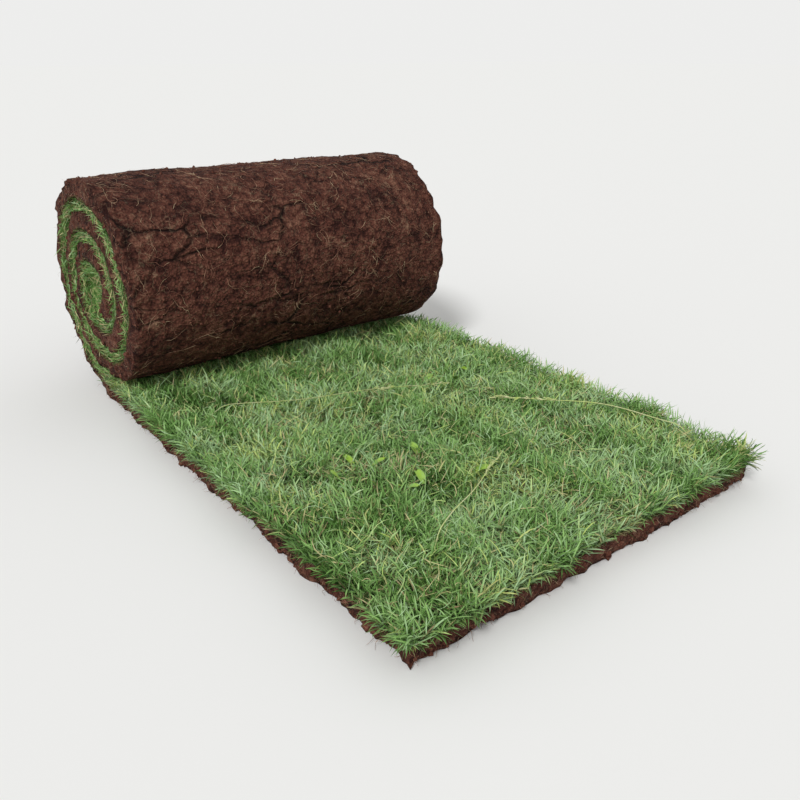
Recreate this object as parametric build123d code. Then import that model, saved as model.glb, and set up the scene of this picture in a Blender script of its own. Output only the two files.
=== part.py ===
"""A strip of natural turf, part of it laid flat and the rest still rolled up with the grass inside.

+Y runs along the strip, from its free end to the roll. +X is across it and +Z is up. The origin is on
the ground, under the middle of the whole object.
"""

import os
from math import pi

from build123d import *

# The strip as it is sold
strip_width = 406.0
strip_length = 2057.0
root_mat = 20.0  # soil held together by the roots, as the cutter lifts it
sward_height = 18.0  # up to where the standing grass looks closed, with single blades up to 27
pressed_height = 13.0  # the same grass between two turns of the roll

# The part that is still rolled up
half_turns = 6
bore_radius = 10.0  # inside the innermost half turn
settle_length = 18.0  # flat stretch under and over each turn, where the soft roll sinks under its own weight

# The soft edges of the grass
sward_overhang = 6.0  # blades that lean out past the cut edge of the mat
sward_round = 8.0
end_recess = 8.0  # the pressed grass lies this deep inside the ends of the roll

# The roll is made of tangent half circles, and each is half a pitch smaller than the one before
pitch = root_mat + pressed_height
roll_radius = bore_radius + pitch * (half_turns + 1) / 2
turn_radii = [roll_radius - k * pitch / 2 for k in range(half_turns)]

# The mat keeps its length at half its thickness, so what isn't rolled up lies flat
rolled_length = sum(pi * (radius - root_mat / 2) for radius in turn_radii) + (half_turns - 1) * settle_length
laid_length = strip_length - rolled_length

total_length = sward_overhang + laid_length + roll_radius
lift_y = total_length / 2 - roll_radius  # the strip leaves the ground here and climbs round the roll
free_end_y = lift_y - laid_length
roll_y = lift_y - settle_length / 2


def centre_z(k):
    """Height of the centre of half turn k: those on the near side of the roll sit half a pitch higher."""
    return roll_radius + (pitch / 2 if k % 2 else 0)


def spiral_line(depth):
    """The line that lies depth inside the mat's soil face, from the ground round to the inner end."""
    edges = []
    for k, outer_radius in enumerate(turn_radii):
        side = -1 if k % 2 else 1
        radius = outer_radius - depth
        y = roll_y + side * settle_length / 2
        end = (y, centre_z(k) + side * radius)
        edges.append(ThreePointArc((y, centre_z(k) - side * radius), (y + side * radius, centre_z(k)), end))
        if k < half_turns - 1:
            edges.append(Line(end, (y - side * settle_length, end[1])))
    return edges


def spiral_band(outer_depth, inner_depth):
    """Section of the rolled strip between two depths below its soil face."""
    outer, inner = spiral_line(outer_depth), spiral_line(inner_depth)
    ends = [Line(outer[0] @ 0, inner[0] @ 0), Line(outer[-1] @ 1, inner[-1] @ 1)]
    return Plane.YZ * make_face(outer + inner + ends)


def slab(start_y, width, length, bottom_z, height):
    """A block that lies across the strip's middle line, from start_y towards the roll."""
    corner = (Align.CENTER, Align.MIN, Align.MIN)
    return Pos(0, start_y, bottom_z) * Box(width, length, height, align=corner)


def make_root_mat():
    """The soil and roots: flat along the laid run, then round and round up to the inner end."""
    laid = slab(free_end_y, strip_width, laid_length, 0, root_mat)
    return laid + extrude(spiral_band(0, root_mat), amount=strip_width / 2, both=True)


def make_pressed_sward():
    """The grass between the turns and round the bore, set back from both ends of the roll."""
    return extrude(spiral_band(root_mat, pitch), amount=strip_width / 2 - end_recess, both=True)


def make_standing_sward():
    """The grass on the laid run, with soft edges, which runs in under the roll and is pressed flat there."""
    width = strip_width + 2 * sward_overhang
    block = slab(free_end_y - sward_overhang, width, laid_length + sward_overhang, root_mat, sward_height)
    under_roll = block.edges().group_by(Axis.Y)[-1]
    soft_edges = [edge for edge in block.edges().group_by(Axis.Z)[-1] if edge not in under_roll]
    soft_edges += block.edges().filter_by(Axis.Z).group_by(Axis.Y)[0]
    next_turn = Plane.YZ * Pos(roll_y, centre_z(1)) * SlotCenterToCenter(settle_length, 2 * turn_radii[1])
    return fillet(soft_edges, sward_round) - extrude(next_turn, amount=width, both=True)


turf_roll = make_root_mat() + make_pressed_sward() + make_standing_sward()

os.makedirs("parts", exist_ok=True)
export_step(turf_roll, "parts/turf_roll.step")

print(f"roll radius {roll_radius:.1f}, rolled {rolled_length:.1f}, laid {laid_length:.1f}")
print(f"free end {free_end_y:.2f}, lift {lift_y:.2f}, roll_y {roll_y:.2f}, total {total_length:.2f}")
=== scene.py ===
"""A part-unrolled roll of natural turf: one strip of fine lawn grass on a mat of red-brown soil and roots.

Every piece is placed on the strip's own line, which runs flat from the free end, leaves the ground under
the roll and goes round it in tangent half circles. A place on the strip is x across it, s along it from
the free end, and h above its soil face.
"""

import math

import bmesh
import bpy
import numpy as np
from bpy.props import FloatProperty, FloatVectorProperty, IntProperty, PointerProperty
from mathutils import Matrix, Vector
from mathutils.bvhtree import BVHTree
from mathutils.noise import noise as noise_value


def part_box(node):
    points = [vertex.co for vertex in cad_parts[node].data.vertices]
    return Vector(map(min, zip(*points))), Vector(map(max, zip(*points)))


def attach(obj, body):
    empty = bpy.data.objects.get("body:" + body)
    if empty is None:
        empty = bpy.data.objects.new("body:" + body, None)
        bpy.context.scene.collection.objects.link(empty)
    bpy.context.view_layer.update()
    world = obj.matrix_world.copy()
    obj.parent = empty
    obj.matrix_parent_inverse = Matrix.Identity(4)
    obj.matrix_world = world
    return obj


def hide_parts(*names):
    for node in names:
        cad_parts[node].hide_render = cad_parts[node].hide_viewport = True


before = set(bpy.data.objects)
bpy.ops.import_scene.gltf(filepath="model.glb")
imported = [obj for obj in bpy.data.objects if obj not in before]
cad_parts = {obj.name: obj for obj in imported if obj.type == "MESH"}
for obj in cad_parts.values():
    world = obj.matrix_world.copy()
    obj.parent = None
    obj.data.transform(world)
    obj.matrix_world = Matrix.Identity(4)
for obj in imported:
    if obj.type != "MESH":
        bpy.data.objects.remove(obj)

bl_info = {
    "name": "Roll of turf",
    "version": (1, 0, 0),
    "blender": (4, 5, 0),
    "location": "3D View > Sidebar > Turf",
    "description": "Soil mat, grass and roots of a part-unrolled roll of turf",
    "category": "Object",
}

NODE = "turf_roll"
TONES = 256  # columns of the blades' colour map, one for each tone of grass
CLEARANCE = 0.0006  # kept between blades or roots and the soil or the floor that they lie on
DROOP = 0.002  # blades that hang past a cut edge end this high above the floor

# Ranges of a blade's tone, which goes from deep green at 0 to dead at 1
GREEN = 0.02, 0.62
YELLOWISH = 0.62, 0.80
DRY = 0.78, 0.97
DEAD = 0.80, 1.00


def colour(name, description, red, green, blue):
    """A colour property, given as it shows on a screen, from 0 to 255."""
    linear = [((v / 255 + 0.055) / 1.055) ** 2.4 if v > 10 else v / 255 / 12.92 for v in (red, green, blue)]
    return FloatVectorProperty(
        name=name, description=description, default=linear, size=3, subtype="COLOR", min=0, max=1
    )


def length(name, description, default):
    """A length property in metres."""
    return FloatProperty(
        name=name, description=description, default=default, min=0, subtype="DISTANCE", unit="LENGTH"
    )


def number(name, description, default):
    """A count property."""
    return IntProperty(name=name, description=description, default=default, min=0)


class StripSizes(bpy.types.PropertyGroup):
    """The strip and how it is rolled up"""

    width: length("Strip width", "Width of the soil mat across the strip", 0.406)
    root_mat: length("Root mat", "Thickness of the soil held together by roots", 0.020)
    sward_height: length("Standing grass", "Height of the grass above the soil where it stands free", 0.027)
    sward_pressed: length("Pressed grass", "Height of the grass between two turns of the roll", 0.013)
    half_turns: IntProperty(name="Half turns", description="Half turns still rolled up", default=6, min=2)
    settle: length("Settled stretch", "Flat stretch at the top and bottom of each turn", 0.018)
    overhang: length("Overhang", "Reach of the grass past the cut edge of the soil", 0.006)
    end_recess: length("End recess", "Depth of the pressed grass inside the ends of the roll", 0.008)


class GrassLook(bpy.types.PropertyGroup):
    """The shoots, leaves and litter of the sward"""

    shoots: FloatProperty(name="Shoots", description="Shoots on each square centimetre", default=11.5, min=1)
    edge_shoots: FloatProperty(
        name="Edge shoots", description="Shoots added on each square centimetre at a cut edge", default=12.0
    )
    stem_length: length("Stem", "Length of a shoot's stem up to its last leaf", 0.018)
    leaf_length: length("Leaf length", "Length of a full-grown leaf", 0.0165)
    leaf_width: length("Leaf width", "Width of a leaf at its widest", 0.0012)
    fringe: number("Fringe", "Blades along both ends of the roll", 18000)
    dead_blades: number("Dead blades", "Old blades that lie low in the grass", 5000)
    wisps: number("Wisps", "Thin blades, many of them dry, that curl in the tops of the others", 3600)
    deep: colour("Deep green", "Shaded and young blades", 75, 115, 46)
    middle: colour("Middle green", "Darker half of the blades", 110, 153, 76)
    fresh: colour("Fresh green", "Lighter half of the blades", 144, 184, 106)
    sage: colour("Sage green", "Blades with a bluish bloom", 167, 198, 150)
    pale: colour("Pale green", "Yellowish blades", 190, 211, 114)
    olive: colour("Olive", "Blades that turn dry", 190, 188, 130)
    straw: colour("Straw", "Dry blades", 202, 192, 142)
    stalk: colour("Seed stalk", "Stalks and seed heads that lie on the grass", 206, 208, 160)
    broad: colour("Broad leaf", "Bright broad leaves among the grass", 156, 192, 66)
    dead: colour("Dead", "Dead blades and leaf bases", 158, 130, 98)


class SoilLook(bpy.types.PropertyGroup):
    """The soil and the roots in it"""

    crumbs: number("Crumbs", "Loose crumbs on the bare soil", 2500)
    face_roots: number("Roots on the roll", "Roots that lie on the outside of the roll", 760)
    edge_roots: number("Root ends", "Root ends that stick out of the cut edges", 900)
    # Damp soil and painted shade: the darkest soil colour, put in the hollows of the soil's grain, in the
    # cracks, between the fibres of the thatch and in the gaps of the pressed grass.
    damp_and_shade: colour("Damp and shaded soil", "Soil in the hollows", 52, 27, 23)
    body: colour("Soil", "Most of the soil", 99, 60, 49)
    dry: colour("Dry soil", "Dry crumbs on the surface", 145, 103, 84)
    root: colour("Roots", "Fine roots in the soil", 196, 172, 140)
    # Old stems and moss, and painted shade: its dark olive green also stands for the green shade under the
    # grass.
    thatch_and_shade: colour("Thatch", "Old stems and moss on top of the soil", 88, 98, 46)


class Strip:
    """The strip's line, with the half circles that the CAD solid has."""

    def __init__(self, sizes):
        low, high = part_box(NODE)
        self.half_width = sizes.width / 2
        self.reach_x = self.half_width + 3 * sizes.overhang  # the longest blades end here
        self.root_mat = sizes.root_mat
        self.pitch = sizes.root_mat + sizes.sward_pressed
        self.sward_height = sizes.sward_height
        self.settle = sizes.settle
        self.radius = high.z / 2
        self.lift_y = high.y - self.radius
        self.roll_y = self.lift_y - self.settle / 2
        self.free_end_y = low.y + sizes.overhang
        self.laid = self.lift_y - self.free_end_y
        self.radii = [self.radius - k * self.pitch / 2 for k in range(sizes.half_turns)]
        self.arc_lengths = [math.pi * (radius - self.root_mat / 2) for radius in self.radii]
        self.arc_starts = [
            self.laid + sum(self.arc_lengths[:k]) + k * self.settle for k in range(sizes.half_turns)
        ]
        self.length = self.arc_starts[-1] + self.arc_lengths[-1]
        self.first_turn = self.arc_starts[1] + self.arc_lengths[1]  # the soil is covered from here on

    def centre(self, k):
        """Side of the roll, y and z of the centre of half turn k."""
        side = -1 if k % 2 else 1
        return side, self.roll_y + side * self.settle / 2, self.radius + (self.pitch / 2 if k % 2 else 0)

    def place(self, x, s, h):
        """Points in the row frame for places on the strip, given as arrays."""
        x, s, h = np.broadcast_arrays(x, s, h)
        y, z = self.free_end_y + s, h.astype(float)
        for k, radius in enumerate(self.radii):
            side, centre_y, centre_z = self.centre(k)
            along = s - self.arc_starts[k]
            on_arc = along > 0
            angle = along / (radius - self.root_mat / 2)
            reach = np.maximum(radius - h, 0.002)  # nothing passes the half circle's centre
            y = np.where(on_arc, centre_y + side * reach * np.sin(angle), y)
            z = np.where(on_arc, centre_z - side * reach * np.cos(angle), z)
            past = along - self.arc_lengths[k]
            on_flat = (past > 0) & (k < len(self.radii) - 1)
            y = np.where(on_flat, centre_y - side * past, y)
            z = np.where(on_flat, centre_z + side * reach, z)
        return np.stack([x, y, z], axis=-1)

    def ceiling(self, x, s):
        """Height of the soil that lies over a place, and a large height where none does."""
        radius = self.radii[1]
        _, centre_y, centre_z = self.centre(1)
        offset = np.minimum(self.free_end_y + s - centre_y, 0)
        under = centre_z - np.sqrt(np.maximum(radius**2 - offset**2, 0))
        over = np.where(np.abs(offset) < radius, under, 1.0)
        over = np.where(s > self.laid, self.pitch, over)
        over = np.where(s > self.arc_starts[-2], self.pitch + 0.006, over)  # into the bore
        return np.where(np.abs(x) < self.half_width, over - CLEARANCE, 1.0)

    def over_soil(self, x, s):
        """Whether places are over the mat and not past one of its cut edges."""
        return (np.abs(x) < self.half_width) & (s > 0)


def patches(x, s, size, rng):
    """Smooth random values from 0 to 1 over the strip, in patches about size across."""
    value = np.full(len(x), 0.5)
    for _ in range(12):
        turn, phase = rng.uniform(0, 2 * np.pi, 2)
        wave = np.pi / (size * rng.uniform(0.7, 1.7))
        value += 0.09 * np.sin(wave * (x * np.cos(turn) + s * np.sin(turn)) + phase)
    return np.clip(value, 0, 1)


def unit(vectors):
    """Vectors, given along the last axis, made one long."""
    return vectors / (np.linalg.norm(vectors, axis=-1, keepdims=True) + 1e-12)


def deselect():
    """Leaves edit mode and deselects every object."""
    if bpy.context.object and bpy.context.object.mode != "OBJECT":
        bpy.ops.object.mode_set(mode="OBJECT")
    bpy.ops.object.select_all(action="DESELECT")


def mesh_piece(name, points, triangles, uvs=None):
    """A smooth mesh object from arrays of points, triangles and one map point for each point."""
    mesh = bpy.data.meshes.new(name)
    mesh.vertices.add(len(points))
    mesh.vertices.foreach_set("co", np.asarray(points, np.float32).ravel())
    mesh.loops.add(triangles.size)
    mesh.loops.foreach_set("vertex_index", triangles.ravel().astype(np.int32))
    mesh.polygons.add(len(triangles))
    mesh.polygons.foreach_set("loop_start", np.arange(0, triangles.size, 3, dtype=np.int32))
    mesh.polygons.foreach_set("use_smooth", np.ones(len(triangles), bool))
    if uvs is not None:
        layer = mesh.uv_layers.new(name="OFBake")
        layer.data.foreach_set("uv", np.asarray(uvs, np.float32)[triangles.ravel()].ravel())
    mesh.update(calc_edges=True)
    piece = bpy.data.objects.new(name, mesh)
    bpy.context.collection.objects.link(piece)
    print(name, len(triangles))
    return piece


def finish_piece(piece, material):
    """Gives a piece its material, and makes it ride on the one body."""
    piece.data.materials.append(material)
    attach(piece, "root")


def mesh_points(piece):
    """The points of a piece's mesh."""
    points = np.empty(len(piece.data.vertices) * 3, np.float32)
    piece.data.vertices.foreach_get("co", points)
    return points.reshape(-1, 3)


def ready_shape(add, **settings):
    """The points and the faces of the shape that an operator adds."""
    deselect()
    add(**settings)
    piece = bpy.context.object
    points, faces = mesh_points(piece), np.array([tuple(face.vertices) for face in piece.data.polygons])
    bpy.ops.object.delete()
    return points, faces


def surface_tree(piece):
    """A piece's surface, to lay other pieces on."""
    faces = [tuple(face.vertices) for face in piece.data.polygons]
    return BVHTree.FromPolygons([vertex.co for vertex in piece.data.vertices], faces)


def land(tree, start, aim):
    """Where straight lines from start towards aim first meet a surface, and which of them meet it."""
    spots, met = np.zeros_like(start), np.zeros(len(start), bool)
    for i, (a, b) in enumerate(zip(start, aim)):
        direction = Vector(b - a)
        spot, _, _, _ = tree.ray_cast(Vector(a), direction.normalized(), direction.length * 2)
        if spot is not None:
            spots[i], met[i] = spot, True
    return spots, met


def roll_sites(rng, strip, count):
    """Random places on the outside of the roll."""
    x = rng.uniform(-strip.half_width, strip.half_width, count)
    return x, rng.uniform(strip.laid + 0.03, strip.first_turn - 0.05, count)


def soil_face_lines(strip, x, s):
    """Points outside the soil face over some places, and points to aim at inside the mat."""
    return strip.place(x, s, -0.02), strip.place(x, s, 0.01)


def cut_edge_sites(rng, strip, count):
    """Places outside the cut edges of both sides and the free end, and points to aim at inside them."""
    corner, away = 0.0015, 0.02  # kept from the mat's corners, and from the edge on both sides
    h = rng.uniform(corner, strip.root_mat - corner, count)
    reach = np.where(rng.random(count) < 0.45, strip.laid, strip.length)  # denser on the laid run
    s = reach * rng.random(count)
    side = np.where(rng.random(count) < 0.5, -1, 1)
    start, aim = (strip.place(side * (strip.half_width + step), s, h) for step in (away, -away))
    x = rng.uniform(-strip.half_width, strip.half_width, count)
    at_end = (rng.random(count) < 0.16)[:, None]
    start = np.where(at_end, strip.place(x, -away, h), start)
    aim = np.where(at_end, strip.place(x, away, h), aim)
    return start, aim


def ribbons(strip, blades, joints):
    """Pointed ribbons for grass blades: points, triangles and map points.

    blades holds an array for each of x, s, h (the foot), heading, lean, bend, length, width, twist, tone
    (0 to 1) and light, and may hold curl. A blade bends away from upright along its heading, in as many
    stretches as joints says, and curl turns its heading on the way.
    """
    count = len(blades["x"])
    x, s, h = (np.array(blades[key], float) for key in ("x", "s", "h"))
    column = np.clip(blades["tone"] * TONES, 0, TONES - 1).astype(int)
    step = blades["length"] / joints
    profile = np.interp(np.linspace(0, 1, joints + 1), [0, 0.3, 0.7, 1], [0.75, 1, 0.8, 0])
    rows, maps = [], []
    for i in range(joints + 1):
        angle = blades["lean"] + blades["bend"] * (i - 0.5) / joints
        heading = blades["heading"] + blades.get("curl", 0) * i / joints
        across = np.cos(heading), np.sin(heading)
        if i:
            x = np.clip(x + step * np.sin(angle) * across[0], -strip.reach_x, strip.reach_x)
            s = np.maximum(s + step * np.sin(angle) * across[1], strip.half_width - strip.reach_x)
            h = h + step * np.cos(angle)
            floor = np.where(strip.over_soil(x, s), strip.root_mat + CLEARANCE, DROOP)
            h = np.maximum(np.minimum(h, strip.ceiling(x, s)), floor)
        half = blades["width"] / 2 * profile[i]
        flat, tilt = np.cos(blades["twist"]), np.sin(blades["twist"])
        side_x = -across[1] * flat + across[0] * tilt * np.cos(angle)
        side_s = across[0] * flat + across[1] * tilt * np.cos(angle)
        side_h = -tilt * np.sin(angle)
        height = (h - strip.root_mat) / strip.sward_height
        # Painted light and shade: the map's height for the blade's colour, darker near the soil and lighter
        # towards the tip.
        light = np.clip(height + blades["light"] * (0.4 + 0.6 * i / joints), 0.01, 0.99)
        for end in (0,) if i == joints else (-1, 1):
            rows.append((x + end * half * side_x, s + end * half * side_s, h + end * half * side_h))
            maps.append(((column + 0.5 + 0.35 * end) / TONES, light))
    places = [np.stack(parts, axis=1) for parts in zip(*rows)]
    uvs = np.stack([np.stack(parts, axis=1) for parts in zip(*maps)], axis=-1)
    ladder = []
    for a in range(0, 2 * joints - 2, 2):
        ladder += [(a, a + 1, a + 3), (a, a + 3, a + 2)]
    ladder.append((2 * joints - 2, 2 * joints - 1, 2 * joints))
    triangles = np.array(ladder)[None] + (np.arange(count) * (2 * joints + 1))[:, None, None]
    return strip.place(*places).reshape(-1, 3), triangles.reshape(-1, 3), uvs.reshape(-1, 2)


def tubes(paths, radii, profile=(1, 0.3)):
    """Three-sided tubes along paths, an array of count by points by 3. The profile scales their radii
    from one end to the other."""
    count, steps, _ = paths.shape
    along = unit(np.gradient(paths, axis=1))
    side = unit(np.cross(along, (0.31, 0.53, 0.79)))  # a direction that no path follows
    up = np.cross(side, along)
    scale = np.interp(np.linspace(0, 1, steps), np.linspace(0, 1, len(profile)), profile)
    thin = (radii[:, None] * scale)[..., None]
    corners = [paths + thin * (math.cos(a) * side + math.sin(a) * up) for a in (0, 2.094, 4.189)]
    points = np.stack(corners, axis=2).reshape(-1, 3)
    wall = []
    for i in range(steps - 1):
        for a in range(3):
            b = (a + 1) % 3
            wall += [(3 * i + a, 3 * i + b, 3 * i + 3 + b), (3 * i + a, 3 * i + 3 + b, 3 * i + 3 + a)]
    wall += [(0, 2, 1), (3 * steps - 3, 3 * steps - 2, 3 * steps - 1)]
    triangles = np.array(wall)[None] + (np.arange(count) * 3 * steps)[:, None, None]
    return points, triangles.reshape(-1, 3)


def join(meshes):
    """Several meshes' points, triangles and, where they have them, map points as one mesh's."""
    starts = np.cumsum([0] + [len(mesh[0]) for mesh in meshes])
    shifted = [(mesh[0], mesh[1] + start, *mesh[2:]) for mesh, start in zip(meshes, starts)]
    return [np.concatenate(part) for part in zip(*shifted)]


def pick(blades, chosen):
    """The chosen ones of some blades."""
    return {key: value[chosen] for key, value in blades.items()}


def gather(parts):
    """Several lots of blades as one."""
    return {key: np.concatenate([part[key] for part in parts]) for key in parts[0]}


def tilted(lean, heading, tilt_x, tilt_s):
    """Lean and heading of blades after the shoots that carry them have tilted."""
    x = np.sin(lean) * np.cos(heading) + tilt_x
    s = np.sin(lean) * np.sin(heading) + tilt_s
    return np.arctan2(np.hypot(x, s), np.cos(lean)), np.arctan2(s, x)


def grow_shoots(rng, strip, look, x, s):
    """Shoots with their feet at x and s: a stem with four leaves that spread on alternate sides."""
    count = len(x)
    tilt_x, tilt_s = (
        1.3 * (patches(x, s, 0.045, rng) - 0.5) + rng.normal(0, 0.38, count) for _ in range(2)
    )
    border = 0.014  # shoots nearer than this to a cut edge lean out past it
    beside = np.clip((np.abs(x) - strip.half_width) / border + 1, 0, 1)
    before = np.clip(1 - s / border, 0, 1)
    tilt_x = tilt_x * (1 - beside) + beside * np.sign(x) * rng.uniform(0.0, 0.9, count)
    tilt_s = tilt_s * (1 - before) - before * rng.uniform(0.0, 0.9, count)
    lean, heading = tilted(np.zeros(count), np.zeros(count), tilt_x, tilt_s)
    thin = 1.3 * patches(x, s, 0.028, rng) + 1.1 * patches(x, s, 0.08, rng)
    thin = np.clip(thin - 1.42, 0, 1)  # above 0 where old stems show between the shoots
    room = np.clip((strip.ceiling(0, s) - strip.root_mat) / strip.sward_height, 0.3, 1)
    vigour = (0.76 + 0.42 * patches(x, s, 0.04, rng)) * (1 - 0.25 * thin) * room
    stem = look.stem_length * rng.uniform(0.45, 1.15, count) * vigour
    turn = rng.uniform(0, 2 * np.pi, count)

    bloom = patches(x, s, 0.035, rng) + 0.6 * patches(x, s, 0.11, rng)
    tone = 0.12 + 0.55 * (bloom - 0.4) + rng.normal(0, 0.09, count)
    tone = np.clip(tone, *GREEN)
    yellowish = rng.random(count) < 0.02 + 1.1 * np.clip(patches(x, s, 0.05, rng) - 0.6, 0, 1)
    tone = np.where(yellowish, rng.uniform(*YELLOWISH, count), tone)

    foot = strip.root_mat - 0.001
    dry_share = 0.12, 0.05, 0.02, 0.01  # of the four leaves, from the lowest up
    parts = []
    for leaf in range(4):
        reach = stem * (leaf + 1) / 4
        spread = rng.uniform(0.1, 1.0, count) if leaf == 3 else rng.uniform(0.5, 1.3, count)
        leaf_lean, leaf_heading = tilted(
            spread, turn + leaf * np.pi + rng.normal(0, 0.5, count), 0.7 * tilt_x, 0.7 * tilt_s
        )
        leaf_tone = tone + rng.normal(0, 0.05, count)
        dry = rng.random(count) < dry_share[leaf] * (0.5 + 16 * thin)
        leaf_tone = np.where(dry, rng.uniform(*DRY, count), leaf_tone)
        foot_h = foot + reach * np.cos(lean)
        bend = rng.uniform(-0.2, 1.05, count)
        full = look.leaf_length * rng.uniform(0.62, 1.15, count) * vigour
        rise = full * np.maximum(np.cos(leaf_lean + bend / 2), 0.05)
        mown = strip.root_mat + strip.sward_height + rng.normal(0, 0.0012, count) - foot_h
        parts.append(
            {
                "x": x + reach * np.sin(lean) * np.cos(heading),
                "s": s + reach * np.sin(lean) * np.sin(heading),
                "h": foot_h,
                "heading": leaf_heading,
                "lean": leaf_lean,
                "bend": bend,
                "length": full * np.clip(mown / rise, 0.35, 1),
                "width": look.leaf_width * rng.uniform(0.75, 1.15, count),
                "twist": rng.normal(0, 0.6, count),
                "tone": leaf_tone,
                "light": np.full(count, 0.12),
            }
        )
    leaves = gather(parts)
    sheath = np.where(rng.random(count) < 0.3, rng.uniform(0.82, 0.98, count), tone)
    stems = {
        "x": x,
        "s": s,
        "h": np.full(count, foot),
        "heading": heading,
        "lean": lean,
        "bend": np.zeros(count),
        "length": stem * 1.25,
        "width": np.full(count, look.leaf_width * 0.8),
        "twist": rng.uniform(-1.5, 1.5, count),
        "tone": sheath,
        "light": np.full(count, 0.1),
    }
    return leaves, stems


def add_node(tree, kind, inputs=None, **settings):
    """Adds a shader node with its settings, and sets its inputs or links them to other nodes' outputs."""
    node = tree.nodes.new(f"ShaderNode{kind}")
    for name, value in settings.items():
        setattr(node, name, value)
    for key, value in (inputs or {}).items():
        if isinstance(value, bpy.types.NodeSocket):
            tree.links.new(value, node.inputs[key])
        else:
            node.inputs[key].default_value = value
    return node


def math_node(tree, operation, *values):
    """The result of a sum, of plain numbers and other nodes' outputs."""
    return add_node(tree, "Math", dict(enumerate(values)), operation=operation).outputs[0]


def noise(tree, place, scale, detail=2.0, roughness=0.5):
    """A cloudy pattern from 0 to 1."""
    inputs = {"Vector": place, "Scale": scale, "Detail": detail, "Roughness": roughness}
    return add_node(tree, "TexNoise", inputs).outputs["Fac"]


def cells(tree, place, scale, feature="F1"):
    """A pattern of cells: distances from their middles, or from their edges."""
    inputs = {"Vector": place, "Scale": scale}
    return add_node(tree, "TexVoronoi", inputs, feature=feature).outputs["Distance"]


def rescale(tree, value, low, high, start=0.0, end=1.0):
    """A value that goes from start to end while another goes from low to high."""
    return add_node(tree, "MapRange", {"Value": value, 1: low, 2: high, 3: start, 4: end}).outputs[0]


def own_place(tree):
    """A point's place in the piece's own coordinates."""
    return add_node(tree, "TexCoord").outputs["Object"]


def stretched(tree, place, *factors):
    """A place scaled by a factor along each axis, which stretches or shrinks a pattern."""
    return add_node(tree, "Mapping", {"Vector": place, "Scale": factors}).outputs[0]


def scaled(tree, vector, factor):
    """A vector made longer or shorter."""
    return add_node(tree, "VectorMath", {0: vector, "Scale": factor}, operation="SCALE").outputs[0]


def mix_colours(tree, factor, first, second, blend_type="MIX"):
    """Two colours mixed by a factor."""
    inputs = {0: factor, 6: first, 7: second}
    return add_node(tree, "Mix", inputs, data_type="RGBA", blend_type=blend_type).outputs[2]


def colour_ramp(tree, value, stops):
    """A colour that follows a value through stops of position and colour."""
    node = add_node(tree, "ValToRGB", {"Fac": value})
    elements = node.color_ramp.elements
    elements[0].position, elements[1].position = stops[0][0], stops[-1][0]
    for position, _ in stops[1:-1]:
        elements.new(position)
    for element, (_, shade) in zip(elements, stops):
        element.color = (*shade, 1)
    return node.outputs["Color"]


def new_material(name, roughness, specular):
    """A material with its shader's plain values, its node tree and its shader."""
    material = bpy.data.materials.new(name)
    material.use_nodes = True
    shader = material.node_tree.nodes["Principled BSDF"]
    shader.inputs["Roughness"].default_value = roughness
    shader.inputs["Specular IOR Level"].default_value = specular
    return material, material.node_tree, shader


def crumb_group():
    """The crumbly grain of soil: round crumbs of two sizes and a fine grit, as a tone and a height."""
    if "crumb_grain" in bpy.data.node_groups:
        return bpy.data.node_groups["crumb_grain"]
    tree = bpy.data.node_groups.new("crumb_grain", "ShaderNodeTree")
    tree.interface.new_socket("Vector", in_out="INPUT", socket_type="NodeSocketVector")
    tree.interface.new_socket("Size", in_out="INPUT", socket_type="NodeSocketFloat").default_value = 1
    tree.interface.new_socket("Tone", in_out="OUTPUT", socket_type="NodeSocketFloat")
    tree.interface.new_socket("Height", in_out="OUTPUT", socket_type="NodeSocketFloat")
    start, end = tree.nodes.new("NodeGroupInput"), tree.nodes.new("NodeGroupOutput")
    place = scaled(tree, start.outputs["Vector"], start.outputs["Size"])
    large, small = cells(tree, place, 120), cells(tree, place, 330)
    grit = noise(tree, place, 900, 3, 0.6)
    cloud = noise(tree, place, 30, 5, 0.6)
    height = math_node(tree, "MULTIPLY_ADD", large, -1.1, 1.1)
    height = math_node(tree, "MULTIPLY_ADD", small, -0.75, height)
    height = math_node(tree, "MULTIPLY_ADD", grit, 0.35, height)
    # Painted shade: the tone follows the height, so the hollows between the crumbs come out darker, and a
    # cloud varies it.
    tone = math_node(tree, "MULTIPLY_ADD", height, 0.5, math_node(tree, "SUBTRACT", cloud, 0.29))
    tree.links.new(tone, end.inputs["Tone"])
    tree.links.new(height, end.inputs["Height"])
    return tree


def crumb_grain(tree, place, size):
    """The tone and the height of the soil's grain in a material."""
    node = add_node(tree, "Group", node_tree=crumb_group())
    tree.links.new(place, node.inputs["Vector"])
    node.inputs["Size"].default_value = size
    return node.outputs["Tone"], node.outputs["Height"]


def dress(tree, shader, shade, height=None, depth=0.0):
    """Gives a shader its colour and, where it has a height, relief so many metres deep."""
    tree.links.new(shade, shader.inputs["Base Color"])
    if height is not None:
        bump = add_node(tree, "Bump", {"Distance": depth, "Height": height})
        tree.links.new(bump.outputs["Normal"], shader.inputs["Normal"])


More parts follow.
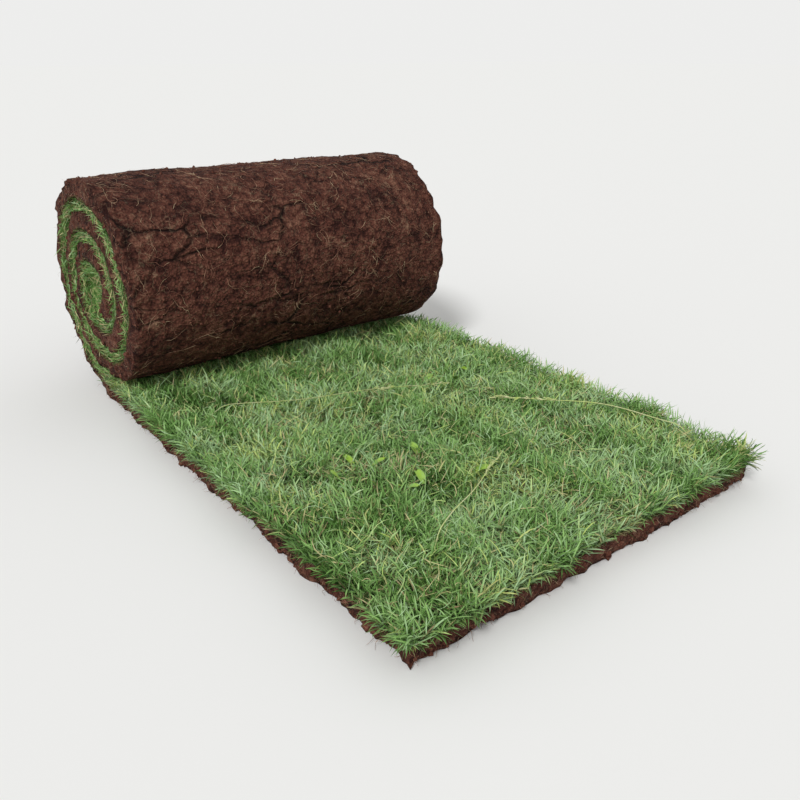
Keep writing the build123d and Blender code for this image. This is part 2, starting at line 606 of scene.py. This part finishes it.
def soil_material(look):
    """Crumbly soil with dry crumbs, fine roots and cracks across the strip, and damp soil and painted shade
    in its hollows.
    """
    material, tree, shader = new_material("soil", 0.95, 0.12)
    place = own_place(tree)
    tone, height = crumb_grain(tree, place, 1.0)
    # The tone follows the grain's height: damp soil and painted shade in the hollows, dry crumbs on the
    # tops.
    shade = colour_ramp(tree, tone, [(0.12, look.damp_and_shade), (0.46, look.body), (0.86, look.dry)])

    # Cracks, open only in places, with painted shade in them
    wander = add_node(tree, "TexNoise", {"Vector": place, "Scale": 24.0, "Detail": 3.0}).outputs["Color"]
    wander = scaled(tree, wander, 0.03)
    bent = add_node(tree, "VectorMath", {0: place, 1: wander}, operation="ADD").outputs[0]
    edge = cells(tree, stretched(tree, bent, 0.42, 1, 1), 30, "DISTANCE_TO_EDGE")
    crack = rescale(tree, edge, 0, 0.06, 1, 0)
    open_here = rescale(tree, noise(tree, place, 14, 2), 0.42, 0.68)
    crack = math_node(tree, "MULTIPLY", crack, open_here)
    # Painted shade: the cracks take the darkest soil colour at about a third of its lightness.
    shade = mix_colours(tree, crack, shade, (*[v * 0.35 for v in look.damp_and_shade], 1))
    height = math_node(tree, "MULTIPLY_ADD", crack, -2.0, height)

    # A web of fine roots
    web = None
    for scale in (46, 90):
        line = math_node(tree, "SUBTRACT", noise(tree, bent, scale, 2), 0.5)
        line = rescale(tree, math_node(tree, "ABSOLUTE", line), 0.002, 0.011, 0.5, 0)
        web = math_node(tree, "MAXIMUM", web, line) if web else line
    web = math_node(tree, "MULTIPLY", web, math_node(tree, "SUBTRACT", noise(tree, place, 60, 1), 0.2))
    shade = mix_colours(tree, web, shade, (*look.root, 1))
    height = math_node(tree, "MULTIPLY_ADD", web, 0.5, height)

    # Old stems and moss, near the grass side alone, in a dark olive that also paints the green shade under
    # the grass
    level = add_node(tree, "Attribute", attribute_name="level").outputs["Fac"]
    fibre = noise(tree, stretched(tree, place, 1, 1, 2.5), 420, 3)
    level = math_node(tree, "SUBTRACT", level, 0.25)
    matted = math_node(tree, "MULTIPLY_ADD", noise(tree, place, 170, 4, 0.65), 0.7, level)
    matted = rescale(tree, matted, 0.98, 1.08, 0, 0.9)
    thatch_and_shade = colour_ramp(tree, fibre, [(0.34, look.damp_and_shade), (0.50, look.thatch_and_shade), (0.70, look.dry)])
    shade = mix_colours(tree, matted, shade, thatch_and_shade)
    dress(tree, shader, shade, height, 0.005)
    return material


def crumb_material(look):
    """Loose crumbs, a little drier than the soil they lie on."""
    material, tree, shader = new_material("soil_crumb", 0.95, 0.12)
    place = own_place(tree)
    tone, height = crumb_grain(tree, place, 1.7)
    tone = math_node(tree, "ADD", tone, math_node(tree, "MULTIPLY", noise(tree, place, 240, 1), 0.25))
    # The tone follows the grain's height: damp soil and painted shade in its hollows.
    shade = colour_ramp(tree, tone, [(0.20, look.damp_and_shade), (0.52, look.body), (0.95, look.dry)])
    dress(tree, shader, shade, height, 0.001)
    return material


def root_material(look):
    """Thin roots, pale where they are clean and brown where soil clings to them."""
    material, tree, shader = new_material("root_fibre", 0.8, 0.2)
    place = own_place(tree)
    cling = noise(tree, place, 70, 3)
    dress(tree, shader, colour_ramp(tree, cling, [(0.32, look.body), (0.48, look.dry), (0.66, look.root)]))
    return material


def blade_material(look):
    """Colour from the blade's own map: its tone across the map, and the light that reaches it up the map."""
    material, tree, shader = new_material("grass_blade", 0.5, 0.35)
    uv = add_node(tree, "UVMap", uv_map="OFBake").outputs["UV"]
    split = add_node(tree, "SeparateXYZ", {"Vector": uv})
    stops = [
        (0.00, look.deep),
        (0.16, look.middle),
        (0.34, look.fresh),
        (0.54, look.sage),
        (0.68, look.pale),
        (0.80, look.olive),
        (0.90, look.straw),
        (1.00, look.dead),
    ]
    shade = colour_ramp(tree, split.outputs["X"], stops)
    # Painted shade: the colour dims down towards the foot, where less light reaches into the grass.
    dim = rescale(tree, split.outputs["Y"], 0, 0.64, 0.17, 1)  # darkest at the foot
    dress(tree, shader, mix_colours(tree, 1.0, shade, dim, "MULTIPLY"))
    return material


def plant_material(name, clean, aged):
    """A stalk or a broad leaf, with lighter and older stretches."""
    material, tree, shader = new_material(name, 0.5, 0.35)
    place = own_place(tree)
    age = noise(tree, place, 85, 3)
    veins = noise(tree, place, 900, 2)
    age = math_node(tree, "MULTIPLY_ADD", veins, 0.3, math_node(tree, "SUBTRACT", age, 0.15))
    dress(tree, shader, colour_ramp(tree, age, [(0.38, clean), (0.72, aged)]), veins, 0.0004)
    return material


def matted_material(look, soil):
    """Pressed grass: streaks of green and straw, with painted shade in the gaps."""
    material, tree, shader = new_material("matted_grass", 0.75, 0.25)
    place = own_place(tree)
    streaks = noise(tree, stretched(tree, place, 1, 0.35, 0.35), 520, 4, 0.65)
    clumps = noise(tree, place, 55, 3)
    tone = math_node(tree, "MULTIPLY_ADD", clumps, 0.5, math_node(tree, "SUBTRACT", streaks, 0.25))
    # The lowest stop paints shade in the gaps between the streaks.
    stops = zip((0.28, 0.40, 0.54, 0.64, 0.74), (soil.damp_and_shade, look.deep, look.middle, look.olive, look.straw))
    dress(tree, shader, colour_ramp(tree, tone, list(stops)), streaks, 0.003)
    return material


def select_edges(piece, chosen):
    """Selects, in edit mode, the edges that chosen() accepts, and nothing else."""
    mesh = bmesh.from_edit_mesh(piece.data)
    for edge in mesh.edges:
        edge.select_set(bool(chosen(edge)))
    bmesh.update_edit_mesh(piece.data)


def spans(edge, axis):
    """Whether an edge leads along one axis, 0 for x or 2 for z."""
    return abs(edge.verts[0].co[axis] - edge.verts[1].co[axis]) > 1e-6


def pull_ribbon(name, strip, half_width, bottom, top, start_y, columns, rows, step):
    """A closed ribbon along the strip between two heights: its cut end is pulled along the laid run and
    then spun half a turn at a time round the roll's centres. Its attribute, level, is 0 on its soil side
    and 1 on its grass side."""
    deselect()
    bpy.ops.mesh.primitive_plane_add(
        size=1, location=(0, start_y, (bottom + top) / 2), rotation=(math.pi / 2, 0, 0)
    )
    piece = bpy.context.object
    piece.name = name
    piece.scale = (2 * half_width, top - bottom, 1)
    bpy.ops.object.transform_apply(location=True, rotation=True, scale=True)
    bpy.ops.object.mode_set(mode="EDIT")
    bpy.ops.mesh.select_mode(type="EDGE")
    bpy.ops.mesh.select_all(action="SELECT")
    bpy.ops.mesh.delete(type="ONLY_FACE")
    select_edges(piece, lambda edge: not spans(edge, 2))
    bpy.ops.mesh.subdivide(number_cuts=columns - 1)
    select_edges(piece, lambda edge: not spans(edge, 0))
    bpy.ops.mesh.subdivide(number_cuts=rows - 1)
    mesh = bmesh.from_edit_mesh(piece.data)
    level = mesh.verts.layers.float.new("level")
    for vert in mesh.verts:
        vert[level] = (vert.co.z - bottom) / (top - bottom)
    bmesh.update_edit_mesh(piece.data)
    bpy.ops.mesh.select_all(action="SELECT")

    def pull(distance):
        steps = max(round(abs(distance) / step), 1)
        for _ in range(steps):
            bpy.ops.mesh.extrude_edges_move(TRANSFORM_OT_translate={"value": (0, distance / steps, 0)})

    pull(strip.lift_y - start_y)
    for k, arc in enumerate(strip.arc_lengths):
        side, centre_y, centre_z = strip.centre(k)
        bpy.ops.mesh.spin(
            steps=round(arc / step),
            angle=math.pi,
            center=(0, centre_y, centre_z),
            axis=(-1, 0, 0),
            use_auto_merge=False,
        )
        if k < len(strip.arc_lengths) - 1:
            pull(-side * strip.settle)

    open_edges = [edge for edge in bmesh.from_edit_mesh(piece.data).edges if edge.is_boundary]
    ends = sorted({round(edge.verts[0].co.y, 5) for edge in open_edges})
    for y in (ends[0], ends[-1]):
        select_edges(
            piece,
            lambda edge: edge.is_boundary and spans(edge, 0) and abs(edge.verts[0].co.y - y) < 1e-4,
        )
        bpy.ops.mesh.bridge_edge_loops(number_cuts=rows - 1)
    bpy.ops.mesh.select_all(action="SELECT")
    bpy.ops.mesh.remove_doubles(threshold=1e-6)
    bpy.ops.mesh.normals_make_consistent(inside=False)
    bpy.ops.object.mode_set(mode="OBJECT")
    bpy.ops.object.shade_smooth()
    return piece


def roughen(piece, size, strength, direction="NORMAL"):
    """Moves a piece's surface in and out by a cloudy pattern, and applies it."""
    texture = bpy.data.textures.new(f"{piece.name}_clouds", "CLOUDS")
    texture.noise_scale = size
    texture.noise_depth = 3
    modifier = piece.modifiers.new("roughen", "DISPLACE")
    modifier.texture = texture
    modifier.texture_coords = "LOCAL"
    modifier.direction = direction
    modifier.strength = strength
    modifier.mid_level = 0.5
    bpy.context.view_layer.objects.active = piece
    bpy.ops.object.modifier_apply(modifier=modifier.name)


class TURF_OT_root_mat(bpy.types.Operator):
    """Makes the mat of soil and roots along the whole strip"""

    bl_idname = "turf.root_mat"
    bl_label = "Root mat"

    def execute(self, context):
        strip = Strip(context.scene.turf_strip)
        piece = pull_ribbon(
            "root_mat",
            strip,
            half_width=strip.half_width,
            bottom=0,
            top=strip.root_mat,
            start_y=strip.free_end_y,
            columns=74,
            rows=8,
            step=0.0056,
        )
        roughen(piece, 0.06, 0.006, "X")  # the cut sides wave
        for size, strength in ((0.13, 0.009), (0.05, 0.004), (0.012, 0.0035)):
            roughen(piece, size, strength)
        points = self.wear(piece, strip, mesh_points(piece))
        points[:, 2] = np.maximum(points[:, 2], 0)
        piece.data.vertices.foreach_set("co", points.ravel())
        piece.data.update()
        finish_piece(piece, soil_material(context.scene.turf_soil))
        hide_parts(NODE)
        return {"FINISHED"}

    def wear(self, piece, strip, points):
        """Breaks the soil away along the corners of the cut faces, deepest on the soil side."""
        level = np.empty(len(points), np.float32)
        piece.data.attributes["level"].data.foreach_get("value", level)
        deep = np.clip(1 - level / 0.55, 0, 1)
        bite = [noise_value(Vector(point) * 55) + 0.6 * noise_value(Vector(point) * 150) for point in points]
        bite = 0.0055 * np.clip(0.45 + np.array(bite), 0, 1) * deep
        border = 0.012  # the soil is worn no farther in than this
        side = np.clip(1 - (strip.half_width - np.abs(points[:, 0])) / border, 0, 1)
        points[:, 0] -= np.sign(points[:, 0]) * bite * side
        points[:, 1] += bite * np.clip(1 - (points[:, 1] - strip.free_end_y) / border, 0, 1)
        return points


class TURF_OT_pressed_sward(bpy.types.Operator):
    """Makes the flattened grass between the turns of the roll"""

    bl_idname = "turf.pressed_sward"
    bl_label = "Pressed grass"

    def execute(self, context):
        scene = context.scene
        strip = Strip(scene.turf_strip)
        piece = pull_ribbon(
            "pressed_sward",
            strip,
            half_width=strip.half_width - scene.turf_strip.end_recess,
            bottom=strip.root_mat,
            top=strip.pitch,
            start_y=strip.roll_y - 0.04,
            columns=8,
            rows=4,
            step=0.006,
        )
        roughen(piece, 0.01, 0.003)
        finish_piece(piece, matted_material(scene.turf_grass, scene.turf_soil))
        return {"FINISHED"}


class TURF_OT_sward(bpy.types.Operator):
    """Grows the standing grass on the laid run"""

    bl_idname = "turf.sward"
    bl_label = "Standing grass"

    def execute(self, context):
        strip = Strip(context.scene.turf_strip)
        look = context.scene.turf_grass
        rng = np.random.default_rng(11)
        material = blade_material(look)
        leaves, stems = grow_shoots(rng, strip, look, *self.feet(rng, strip, look))

        low = gather([stems, self.dead_blades(rng, strip, look)])
        wisps = self.wisps(rng, strip, look)
        for part in range(4):
            edges = strip.laid * part / 4, strip.laid * (part + 1) / 4
            meshes = []
            for blades, joints in ((leaves, 3), (low, 2), (wisps, 4)):
                here = (blades["s"] >= edges[0]) & (blades["s"] < edges[1])
                here |= (blades["s"] < 0) & (part == 0) | (blades["s"] >= strip.laid) & (part == 3)
                meshes.append(ribbons(strip, pick(blades, here), joints))
            piece = mesh_piece(f"sward_{part + 1}", *join(meshes))
            finish_piece(piece, material)
        return {"FINISHED"}

    def scattered(self, rng, strip, look, count, rise, lean, bend, size, width):
        """Blades with their feet anywhere over the laid run. Rise above the soil, lean, bend, and size and
        width beside a full-grown leaf's are ranges."""
        return {
            "x": rng.uniform(-strip.half_width, strip.half_width, count),
            "s": rng.uniform(0, strip.laid, count),
            "h": strip.root_mat + rng.uniform(*rise, count),
            "heading": rng.uniform(0, 2 * np.pi, count),
            "lean": rng.uniform(*lean, count),
            "bend": rng.uniform(*bend, count),
            "length": look.leaf_length * rng.uniform(*size, count),
            "width": look.leaf_width * rng.uniform(*width, count),
        }

    def dead_blades(self, rng, strip, look):
        """Blades that lie low between the stems: half of them old and dead, and half deep green as painted
        shade low in the grass.
        """
        count = look.dead_blades
        ranges = (0.001, 0.015), (1.1, 1.7), (-0.4, 0.4), (0.5, 1.2), (0.6, 1.1)
        blades = self.scattered(rng, strip, look, count, *ranges)
        blades["twist"] = rng.uniform(-0.8, 0.8, count)
        # Painted shade: half of these blades take a deep green tone, for the green shade low in the grass.
        blades["tone"] = np.where(rng.random(count) < 0.5, rng.uniform(*DEAD, count), 0.1)
        blades["light"] = np.full(count, 0.25)
        return blades

    def wisps(self, rng, strip, look):
        """Thin blades, many of them dry, that lie in the tops of the others and curl."""
        count = look.wisps
        dry = rng.random(count) < 0.38
        tone = np.where(dry, rng.uniform(0.72, 0.94, count), rng.uniform(0.42, 0.68, count))
        rise = 0.28 * strip.sward_height, 0.72 * strip.sward_height
        blades = self.scattered(
            rng, strip, look, count, rise, lean=(0.5, 1.3), bend=(0, 1), size=(0.6, 1.5), width=(0.4, 0.68)
        )
        blades["twist"] = rng.normal(0, 0.6, count)
        blades["curl"] = rng.normal(0, 1.6, count)
        return {**blades, "tone": tone, "light": np.full(count, 0.3)}

    def feet(self, rng, strip, look):
        """Places of the shoots: all over the laid run, and closer together along its cut edges."""
        wide, long, border = strip.half_width, strip.laid, 0.009
        dense, edge_dense = look.shoots * 1e4, look.edge_shoots * 1e4  # for each square metre
        crowding = 1.5  # above 1, the shoots of a border stand closest at its outer side
        count = int(dense * long * wide * 2)
        x, s = [rng.uniform(-wide, wide, count)], [rng.uniform(0, long, count)]
        for side in (-1, 1):
            count = int(edge_dense * long * border)
            x.append(side * (wide - border * rng.random(count) ** crowding))
            s.append(rng.uniform(0, long, count))
        count = int(edge_dense * wide * 2 * border)
        x.append(rng.uniform(-wide, wide, count))
        s.append(border * rng.random(count) ** crowding)
        return np.concatenate(x), np.concatenate(s)


class TURF_OT_fringe(bpy.types.Operator):
    """Lays the blades that show between the turns at both ends of the roll"""

    bl_idname = "turf.fringe"
    bl_label = "Fringe of the roll"

    def execute(self, context):
        strip = Strip(context.scene.turf_strip)
        look = context.scene.turf_grass
        rng = np.random.default_rng(23)
        count = look.fringe
        side = np.where(rng.random(count) < 0.5, -1, 1)
        along = rng.random(count) < 0.58  # these follow the turns, and the others point out of the ends
        turned = np.where(rng.random(count) < 0.5, -np.pi / 2, np.pi / 2) + rng.normal(0, 0.3, count)
        outward = np.where(side > 0, 0, np.pi) + rng.normal(0, 0.9, count)
        depth = np.where(along, rng.uniform(0, 0.007, count), rng.uniform(0.002, 0.014, count))
        size = np.where(along, rng.uniform(0.5, 1.15, count), rng.uniform(0.3, 0.7, count))
        tone = np.clip(0.25 + rng.normal(0, 0.15, count), 0.02, 0.75)
        dry = rng.random(count) < 0.24
        tone = np.where(dry, rng.uniform(*DEAD, count), tone)
        blades = {
            "x": side * (strip.half_width - depth),
            "s": rng.uniform(strip.laid - 0.05, strip.length - 0.004, count),
            "h": strip.root_mat + rng.uniform(0.0005, 0.012, count),
            "heading": np.where(along, turned, outward),
            "lean": rng.normal(1.5, 0.12, count),
            "bend": rng.uniform(-0.4, 0.4, count),
            "length": look.leaf_length * size,
            "width": look.leaf_width * rng.uniform(0.6, 1.05, count),
            "twist": rng.uniform(-1.1, 1.1, count),
            "tone": tone,
            # Painted light: these blades lie low between the turns but take a lighter colour than their
            # height gives.
            "light": rng.uniform(0.25, 0.75, count),
        }
        points, triangles, uvs = ribbons(strip, blades, 2)
        finish_piece(mesh_piece("roll_fringe", points, triangles, uvs), blade_material(look))
        return {"FINISHED"}


class TURF_OT_litter(bpy.types.Operator):
    """Lays seed stalks and a few broad leaves on the grass"""

    bl_idname = "turf.litter"
    bl_label = "Seed stalks and broad leaves"

    def execute(self, context):
        strip = Strip(context.scene.turf_strip)
        look = context.scene.turf_grass
        rng = np.random.default_rng(59)
        piece = mesh_piece("seed_stalks", *self.stalks(rng, strip))
        finish_piece(piece, plant_material("seed_stalk", look.stalk, look.pale))
        piece = self.broad_leaves(rng, strip)
        finish_piece(piece, plant_material("broad_leaf", look.broad, look.fresh))
        return {"FINISHED"}

    def stalks(self, rng, strip):
        """Long thin stalks that have fallen over, each with a narrow seed head near its tip."""
        steps, grains, meshes = 32, 30, []
        stalk_radius, grain_radius = 0.0006, 0.0008
        for x, s, heading, reach in (
            (-0.175, 0.38, -0.50, 0.27),
            (0.185, 0.04, 2.00, 0.21),
            (-0.14, 0.055, 0.42, 0.15),
        ):
            along = np.linspace(0, 1, steps)
            sway = 0.05 * np.sin(7 * along + rng.uniform(0, 6))
            heading = heading + rng.uniform(-0.5, 0.5) * along**2 + sway
            x = x + np.cumsum(np.cos(heading)) * reach / steps
            s = s + np.cumsum(np.sin(heading)) * reach / steps
            top = strip.root_mat + strip.sward_height - 0.001
            h = top + 0.005 * np.sin(np.pi * along) + 0.0012 * np.sin(11 * along + rng.uniform(0, 6))
            h[:3] -= (0.016, 0.008, 0.002)  # the foot goes down between the blades
            path = strip.place(x, s, h)
            meshes.append(tubes(path[None], np.array([stalk_radius]), (1, 0.9, 0.45)))

            spot = rng.uniform(0.66, 0.99, grains) * (steps - 1)
            near = spot.astype(int)
            lie = path[near + 1] - path[near]
            foot = path[near] + lie * (spot - near)[:, None]
            lie = unit(lie) + rng.normal(0, 0.34, (grains, 3))
            size = rng.uniform(0.004, 0.008, grains)[:, None, None]
            stretch = np.array([0, 0.3, 0.65, 1])[None, :, None]
            paths = foot[:, None] + lie[:, None] * size * stretch
            meshes.append(tubes(paths, np.full(grains, grain_radius), (0.35, 1, 0.8, 0.1)))
        return join(meshes)

    def broad_leaves(self, rng, strip):
        """Small broad leaves that stand singly among the blades, modelled once and set down in groups."""
        grid = bpy.ops.mesh.primitive_grid_add
        shape, faces = ready_shape(grid, x_subdivisions=4, y_subdivisions=8, size=1)
        along = shape[:, 1] + 0.5
        half = 0.22 * np.sin(np.pi * np.clip(along * 0.9 + 0.1, 0, 1)) ** 0.75
        triangles = np.concatenate([faces[:, (0, 1, 2)], faces[:, (0, 2, 3)]])
        meshes = []
        for plant_x, plant_s, count, apart in ((-0.09, 0.17, 8, 0.024), (0.10, 0.30, 3, 0.012)):
            for _ in range(count):
                x, s = rng.normal(plant_x, apart), rng.normal(plant_s, apart)
                heading, size = rng.uniform(0, 2 * np.pi), rng.uniform(0.015, 0.022)
                angle = rng.uniform(0.2, 0.7) + rng.uniform(0.3, 0.8) * along
                across = shape[:, 0] * 2 * half * size
                h = strip.root_mat + rng.uniform(0.010, 0.015) + size * along * np.cos(angle)
                h = h + np.abs(across) * rng.uniform(0.2, 0.5)
                reach = size * along * np.sin(angle)
                x = x + reach * np.cos(heading) - across * np.sin(heading)
                s = s + reach * np.sin(heading) + across * np.cos(heading)
                meshes.append((strip.place(x, s, h), triangles))
        return mesh_piece("broad_leaves", *join(meshes))


class TURF_OT_roots(bpy.types.Operator):
    """Lays roots on the outside of the roll and pulls root ends out of the cut edges"""

    bl_idname = "turf.roots"
    bl_label = "Roots"

    def execute(self, context):
        strip = Strip(context.scene.turf_strip)
        look = context.scene.turf_soil
        rng = np.random.default_rng(31)
        tree = surface_tree(bpy.data.objects["root_mat"])
        meshes = [self.on_roll(rng, strip, look, tree), self.at_edges(rng, strip, look, tree)]
        finish_piece(mesh_piece("roots", *join(meshes)), root_material(look))
        return {"FINISHED"}

    def on_roll(self, rng, strip, look, tree):
        """Roots that wander over the outside of the roll."""
        count, steps = look.face_roots, 9
        x, s = roll_sites(rng, strip, count)
        heading = rng.uniform(0, 2 * np.pi, count)
        stride = rng.uniform(0.0015, 0.006, count)
        edge, lines = strip.half_width - 0.001, []
        for _ in range(steps):
            x = np.clip(x + stride * np.cos(heading), -edge, edge)
            s = np.clip(s + stride * np.sin(heading), strip.laid + 0.01, strip.first_turn - 0.02)
            heading = heading + rng.normal(0, 0.45, count)
            lines.append(soil_face_lines(strip, x, s))
        starts, aims = (np.stack(ends, axis=1) for ends in zip(*lines))
        spots, met = land(tree, starts.reshape(-1, 3), aims.reshape(-1, 3))
        out = unit(starts - aims)
        lift = np.abs(rng.normal(0, 0.0004, (count, steps, 1)))
        paths = spots.reshape(count, steps, 3) + out * lift
        paths[..., 2] = np.maximum(paths[..., 2], CLEARANCE)
        whole = met.reshape(count, steps).all(axis=1)
        return tubes(paths[whole], rng.uniform(0.00015, 0.00038, count)[whole])

    def at_edges(self, rng, strip, look, tree):
        """Root ends that stick out of the cut edges and droop."""
        count, steps = look.edge_roots, 5
        starts, aims = cut_edge_sites(rng, strip, count)
        spots, met = land(tree, starts, aims)
        out = unit(starts - aims)
        heading = rng.normal(0, 0.7, (count, 3)) + out * rng.uniform(0.3, 1.2, (count, 1))
        stride = rng.uniform(0.0007, 0.0026, count)[:, None]
        path = [spots]
        for _ in range(steps - 1):
            heading = unit(heading)
            path.append(path[-1] + stride * heading)
            heading = heading + rng.normal(0, 0.45, (count, 3)) - (0, 0, 0.25)
        paths = np.stack(path, axis=1)
        paths[..., 2] = np.maximum(paths[..., 2], CLEARANCE)
        return tubes(paths[met], rng.uniform(0.00012, 0.0003, count)[met])


class TURF_OT_crumbs(bpy.types.Operator):
    """Scatters loose crumbs over the bare soil of the roll and the cut edges"""

    bl_idname = "turf.crumbs"
    bl_label = "Crumbs"

    def execute(self, context):
        strip = Strip(context.scene.turf_strip)
        look = context.scene.turf_soil
        rng = np.random.default_rng(47)
        tree = surface_tree(bpy.data.objects["root_mat"])
        shape, faces = ready_shape(bpy.ops.mesh.primitive_ico_sphere_add, subdivisions=1, radius=1)
        count = look.crumbs
        on_roll = (rng.random(count) < 0.4)[:, None]
        at_edge = cut_edge_sites(rng, strip, count)
        on_face = soil_face_lines(strip, *roll_sites(rng, strip, count))
        start, aim = (np.where(on_roll, face, edge) for face, edge in zip(on_face, at_edge))
        spots, met = land(tree, start, aim)
        out = unit(start - aim)
        size = np.clip(rng.lognormal(math.log(0.0015), 0.5, count), 0.0006, 0.005)
        size = np.where(on_roll[:, 0], np.minimum(size, 0.0024), size)  # no large ones on the roll
        turns = rng.normal(size=(count, 3, 3))
        turns = np.linalg.qr(turns)[0] * (1, 1, 0.7)
        bodies = shape[None] * (1 + rng.normal(0, 0.16, (count, len(shape), 1)))
        bodies = np.einsum("nij,nkj->nki", turns, bodies) * size[:, None, None]
        bodies += (spots + out * size[:, None] * rng.uniform(-0.5, 0.2, (count, 1)))[:, None]
        bodies[..., 2] = np.maximum(bodies[..., 2], 0.0002)
        bodies = bodies[met]
        triangles = faces[None] + (np.arange(len(bodies)) * len(shape))[:, None, None]
        piece = mesh_piece("crumbs", bodies.reshape(-1, 3), triangles.reshape(-1, 3))
        deselect()
        context.view_layer.objects.active = piece
        piece.select_set(True)
        bpy.ops.object.mode_set(mode="EDIT")
        bpy.ops.mesh.select_all(action="SELECT")
        bpy.ops.mesh.normals_make_consistent(inside=False)  # half of the turns mirror their crumb
        bpy.ops.object.mode_set(mode="OBJECT")
        finish_piece(piece, crumb_material(look))
        return {"FINISHED"}


class TURF_OT_stage(bpy.types.Operator):
    """Sets the floor, the light and the camera"""

    bl_idname = "turf.stage"
    bl_label = "Stage"

    def execute(self, context):
        deselect()
        bpy.ops.mesh.primitive_plane_add(size=60, location=(0, 0, 0))
        floor = context.object
        floor.name = "floor"
        material, _, shader = new_material("floor", 1.0, 0.0)
        shader.inputs["Base Color"].default_value = (0.85, 0.85, 0.84, 1)
        floor.data.materials.append(material)

        world = bpy.data.worlds.new("studio")
        world.use_nodes = True
        tree = world.node_tree
        seen = add_node(tree, "LightPath")
        seen = math_node(tree, "MAXIMUM", seen.outputs["Is Camera Ray"], seen.outputs["Is Glossy Ray"])
        level = rescale(tree, seen, 0, 1, 0.6, 0.85)
        background = tree.nodes["Background"]
        background.inputs["Color"].default_value = (1, 1, 0.99, 1)
        tree.links.new(level, background.inputs["Strength"])
        context.scene.world = world

        bpy.ops.object.light_add(type="SUN", rotation=(math.radians(42), 0, math.radians(-58)))
        key = context.object
        key.data.energy = 1.7
        key.data.angle = math.radians(14)

        bpy.ops.object.camera_add()
        camera = context.object
        target = Vector((0.022, -0.045, 0.03))
        distance, azimuth, elevation = 0.84, math.radians(-38), math.radians(24)
        heading = Vector((math.sin(azimuth), -math.cos(azimuth), 0))
        away = heading * math.cos(elevation) + Vector((0, 0, math.sin(elevation)))
        camera.location = target + distance * away
        camera.rotation_euler = (target - camera.location).to_track_quat("-Z", "Y").to_euler()
        camera.data.sensor_width = 36
        camera.data.lens = 35
        context.scene.camera = camera
        context.scene.view_settings.view_transform = "Standard"
        return {"FINISHED"}


class TURF_PT_panel(bpy.types.Panel):
    """Sizes and colours of the turf, and its pieces in order"""

    bl_label = "Turf"
    bl_space_type = "VIEW_3D"
    bl_region_type = "UI"
    bl_category = "Turf"

    def draw(self, context):
        for group in GROUPS:
            settings = getattr(context.scene, group)
            box = self.layout.box()
            for name in settings.__annotations__:
                box.prop(settings, name)
        for operator in OPERATORS:
            self.layout.operator(operator.bl_idname)


GROUPS = {"turf_strip": StripSizes, "turf_grass": GrassLook, "turf_soil": SoilLook}
OPERATORS = [
    TURF_OT_root_mat,
    TURF_OT_pressed_sward,
    TURF_OT_sward,
    TURF_OT_fringe,
    TURF_OT_litter,
    TURF_OT_roots,
    TURF_OT_crumbs,
    TURF_OT_stage,
]


def register():
    for cls in [*GROUPS.values(), *OPERATORS, TURF_PT_panel]:
        bpy.utils.register_class(cls)
    for name, group in GROUPS.items():
        setattr(bpy.types.Scene, name, PointerProperty(type=group))


def unregister():
    for name in GROUPS:
        delattr(bpy.types.Scene, name)
    for cls in [TURF_PT_panel, *OPERATORS, *GROUPS.values()]:
        bpy.utils.unregister_class(cls)


def main():
    register()
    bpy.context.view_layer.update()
    for operator in OPERATORS:
        getattr(bpy.ops.turf, operator.bl_idname.split(".")[1])()


if __name__ == "__main__":
    main()
